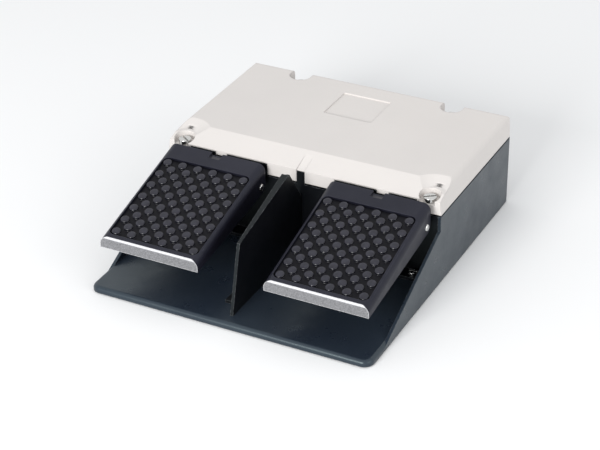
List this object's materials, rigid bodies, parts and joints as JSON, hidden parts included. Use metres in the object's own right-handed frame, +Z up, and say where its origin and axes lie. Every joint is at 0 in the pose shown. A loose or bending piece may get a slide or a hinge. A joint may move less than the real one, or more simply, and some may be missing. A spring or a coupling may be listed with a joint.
{
  "type": "industrial two-pedal foot switch",
  "caption": "Two-pedal foot switch: black sheet-steel base with a centre divider, grey cover, pimpled black pedals.",
  "frame": {"origin": "on the floor, under the middle of the base's outline", "axes": "+X to the operator's right, +Y away from the operator towards the cable entry, +Z up"},
  "size_m": [0.24, 0.273, 0.0807],
  "materials": {
    "black_enamel": "semi-gloss baked enamel with a fine texture",
    "cover_enamel": "satin warm grey paint on a casting",
    "pedal_moulding": "fine-grained moulding",
    "tread_rubber": "smooth, slightly glossy rubber",
    "gasket_rubber": "matt",
    "foot_rubber": "matt",
    "zinc_plate": "zinc-plated sheet",
    "steel_parts": "zinc-plated, turned",
    "brass_parts": "plain turned and stamped",
    "switch_moulding": "moulded, matt",
    "slider_moulding": "moulded, satin"
  },
  "bodies": {
    "housing": {"base_tray": "black_enamel", "bulkhead": "black_enamel", "bulkhead_screws": "steel_parts", "centre_divider": "black_enamel", "divider_screws": "steel_parts", "cover": "cover_enamel", "cover_gasket": "gasket_rubber", "cover_screws": "steel_parts", "rubber_feet": "foot_rubber", "hinge_bracket_left": "zinc_plate", "hinge_bracket_right": "zinc_plate", "bracket_screws": "steel_parts", "bracket_nuts": "steel_parts", "bearing_bushes": "brass_parts", "stop_pads": "foot_rubber", "return_springs_left": "steel_parts", "return_springs_right": "steel_parts", "rod_bushes": "brass_parts", "rod_seals": "gasket_rubber", "mounting_rail": "zinc_plate", "rail_screws": "steel_parts", "switch_block_left": "switch_moulding", "switch_block_right": "switch_moulding", "switch_cap_left": "slider_moulding", "switch_cap_right": "slider_moulding", "fixed_contacts_left": "brass_parts", "fixed_contacts_right": "brass_parts", "terminal_screws": "steel_parts", "slider_spring_left": "steel_parts", "slider_spring_right": "steel_parts", "earth_terminal": "brass_parts", "cable_entry": "zinc_plate"},
    "pedal_left": {"pedal_left": "pedal_moulding", "tread_left": "tread_rubber", "axle_left": "steel_parts"},
    "pushrod_left": {"pushrod_left": "steel_parts", "rod_clip_left": "steel_parts"},
    "slider_left": {"slider_left": "slider_moulding", "contact_bridge_left": "brass_parts"},
    "pedal_right": {"pedal_right": "pedal_moulding", "tread_right": "tread_rubber", "axle_right": "steel_parts"},
    "pushrod_right": {"pushrod_right": "steel_parts", "rod_clip_right": "steel_parts"},
    "slider_right": {"slider_right": "slider_moulding", "contact_bridge_right": "brass_parts"}
  },
  "joints": [
    {"name": "pedal_left_hinge", "type": "hinge", "parent": "housing", "child": "pedal_left", "pos_m": [-0.071, -0.0225, 0.0575], "axis": [1, 0, 0], "range_deg": [0, 12], "stiffness_Nm_per_rad": 4, "springref_deg": -20.05, "deforming": ["return_springs_left"]},
    {"name": "pushrod_left_slide", "type": "slide", "parent": "housing", "child": "pushrod_left", "axis": [0, 1, 0], "range_m": [0, 0.0042]},
    {"name": "slider_left_slide", "type": "slide", "parent": "housing", "child": "slider_left", "axis": [0, 1, 0], "range_m": [0, 0.0042], "deforming": ["slider_spring_left"]},
    {"name": "pedal_right_hinge", "type": "hinge", "parent": "housing", "child": "pedal_right", "pos_m": [0.071, -0.0225, 0.0575], "axis": [1, 0, 0], "range_deg": [0, 12], "stiffness_Nm_per_rad": 4, "springref_deg": -20.05, "deforming": ["return_springs_right"]},
    {"name": "pushrod_right_slide", "type": "slide", "parent": "housing", "child": "pushrod_right", "axis": [0, 1, 0], "range_m": [0, 0.0042]},
    {"name": "slider_right_slide", "type": "slide", "parent": "housing", "child": "slider_right", "axis": [0, 1, 0], "range_m": [0, 0.0042], "deforming": ["slider_spring_right"]}
  ],
  "couplings": [
    {"joint": "pushrod_left_slide", "follows": "pedal_left_hinge", "m_per_rad": 0.02},
    {"joint": "slider_left_slide", "follows": "pedal_left_hinge", "m_per_rad": 0.02},
    {"joint": "pushrod_right_slide", "follows": "pedal_right_hinge", "m_per_rad": 0.02},
    {"joint": "slider_right_slide", "follows": "pedal_right_hinge", "m_per_rad": 0.02}
  ]
}
